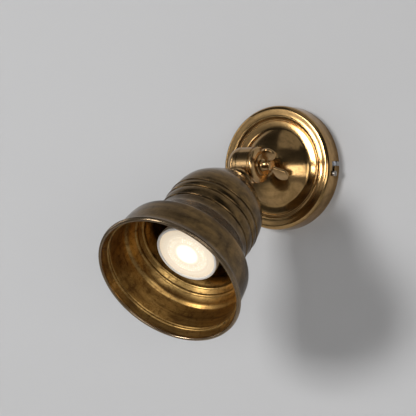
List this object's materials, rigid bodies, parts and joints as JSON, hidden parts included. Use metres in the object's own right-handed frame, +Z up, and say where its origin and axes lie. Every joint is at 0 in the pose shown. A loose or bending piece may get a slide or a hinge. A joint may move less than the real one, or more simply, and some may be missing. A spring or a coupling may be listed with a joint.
{
  "type": "adjustable wall spotlight",
  "caption": "Aged brass wall spotlight: round rose on a wall plate, clamped tilting knuckle with a wing nut, and a ribbed bell shade around a reflector lamp.",
  "frame": {"origin": "centre of the wall plate's back face, on the wall", "axes": "+Z up, +Y into the wall, +X to the right seen from the room; the light reaches out along -Y"},
  "size_m": [0.1188, 0.2047, 0.1874],
  "materials": {
    "plate_steel": "zinc plated, satin",
    "screw_steel": "zinc plated",
    "terminal_plastic": "moulded, matt",
    "lead_insulation": "silicone insulated wire",
    "rose_brass": "aged polished brass",
    "knuckle_brass": "aged polished brass",
    "shade_brass": "dark aged brass patina",
    "bracket_steel": "plated strip",
    "holder_ceramic": "unglazed",
    "contact_brass": "bright",
    "lamp_white": "moulded white",
    "board_green": "white solder mask",
    "emitter_yellow": "phosphor coated",
    "lens_diffuser": "frosted lens, lit warm white"
  },
  "bodies": {
    "wall": {"wall_plate": "plate_steel", "cover_screws": "screw_steel", "terminal_block": "terminal_plastic", "terminal_clamps": "screw_steel", "block_screws": "screw_steel", "earth_screw": "screw_steel", "earth_washer": "screw_steel", "supply_leads": "lead_insulation"},
    "rose": {"rose_cover": "rose_brass", "stem": "knuckle_brass", "stem_washer": "screw_steel", "stem_locknut": "screw_steel", "stem_collar": "rose_brass", "knuckle_base": "knuckle_brass", "clamp_washer": "knuckle_brass"},
    "head": {"knuckle_head": "knuckle_brass", "clamp_bolt": "knuckle_brass", "shade_collar": "shade_brass", "nipple": "knuckle_brass", "shade_shell": "shade_brass", "shade_washer": "screw_steel", "shade_locknut": "screw_steel", "holder_bracket": "bracket_steel", "bracket_nut": "screw_steel", "bracket_screws": "screw_steel", "lampholder": "holder_ceramic", "holder_contacts": "contact_brass", "head_leads": "lead_insulation"},
    "wing": {"wing_nut": "knuckle_brass"},
    "lamp": {"lamp_base": "lamp_white", "lamp_pins": "contact_brass", "lamp_shell": "lamp_white", "lamp_lens": "lens_diffuser", "led_board": "board_green", "led_emitter": "emitter_yellow", "drive_board": "board_green"}
  },
  "joints": [
    {"name": "rose_twist", "type": "hinge", "parent": "wall", "child": "rose", "pos_m": [0, 0, 0], "axis": [0, 1, 0], "range_deg": [0, 9.4]},
    {"name": "head_tilt", "type": "hinge", "parent": "rose", "child": "head", "pos_m": [0, -0.0553, 0], "axis": [1, 0, 0], "range_deg": [-110, 45]},
    {"name": "wing_turn", "type": "hinge", "parent": "head", "child": "wing", "pos_m": [0, -0.0553, 0], "axis": [1, 0, 0], "range_deg": [-180, 180]},
    {"name": "lamp_twist", "type": "hinge", "parent": "head", "child": "lamp", "pos_m": [0, -0.0553, 0], "axis": [0, -0.7738, -0.6334], "range_deg": [0, 18]}
  ]
}
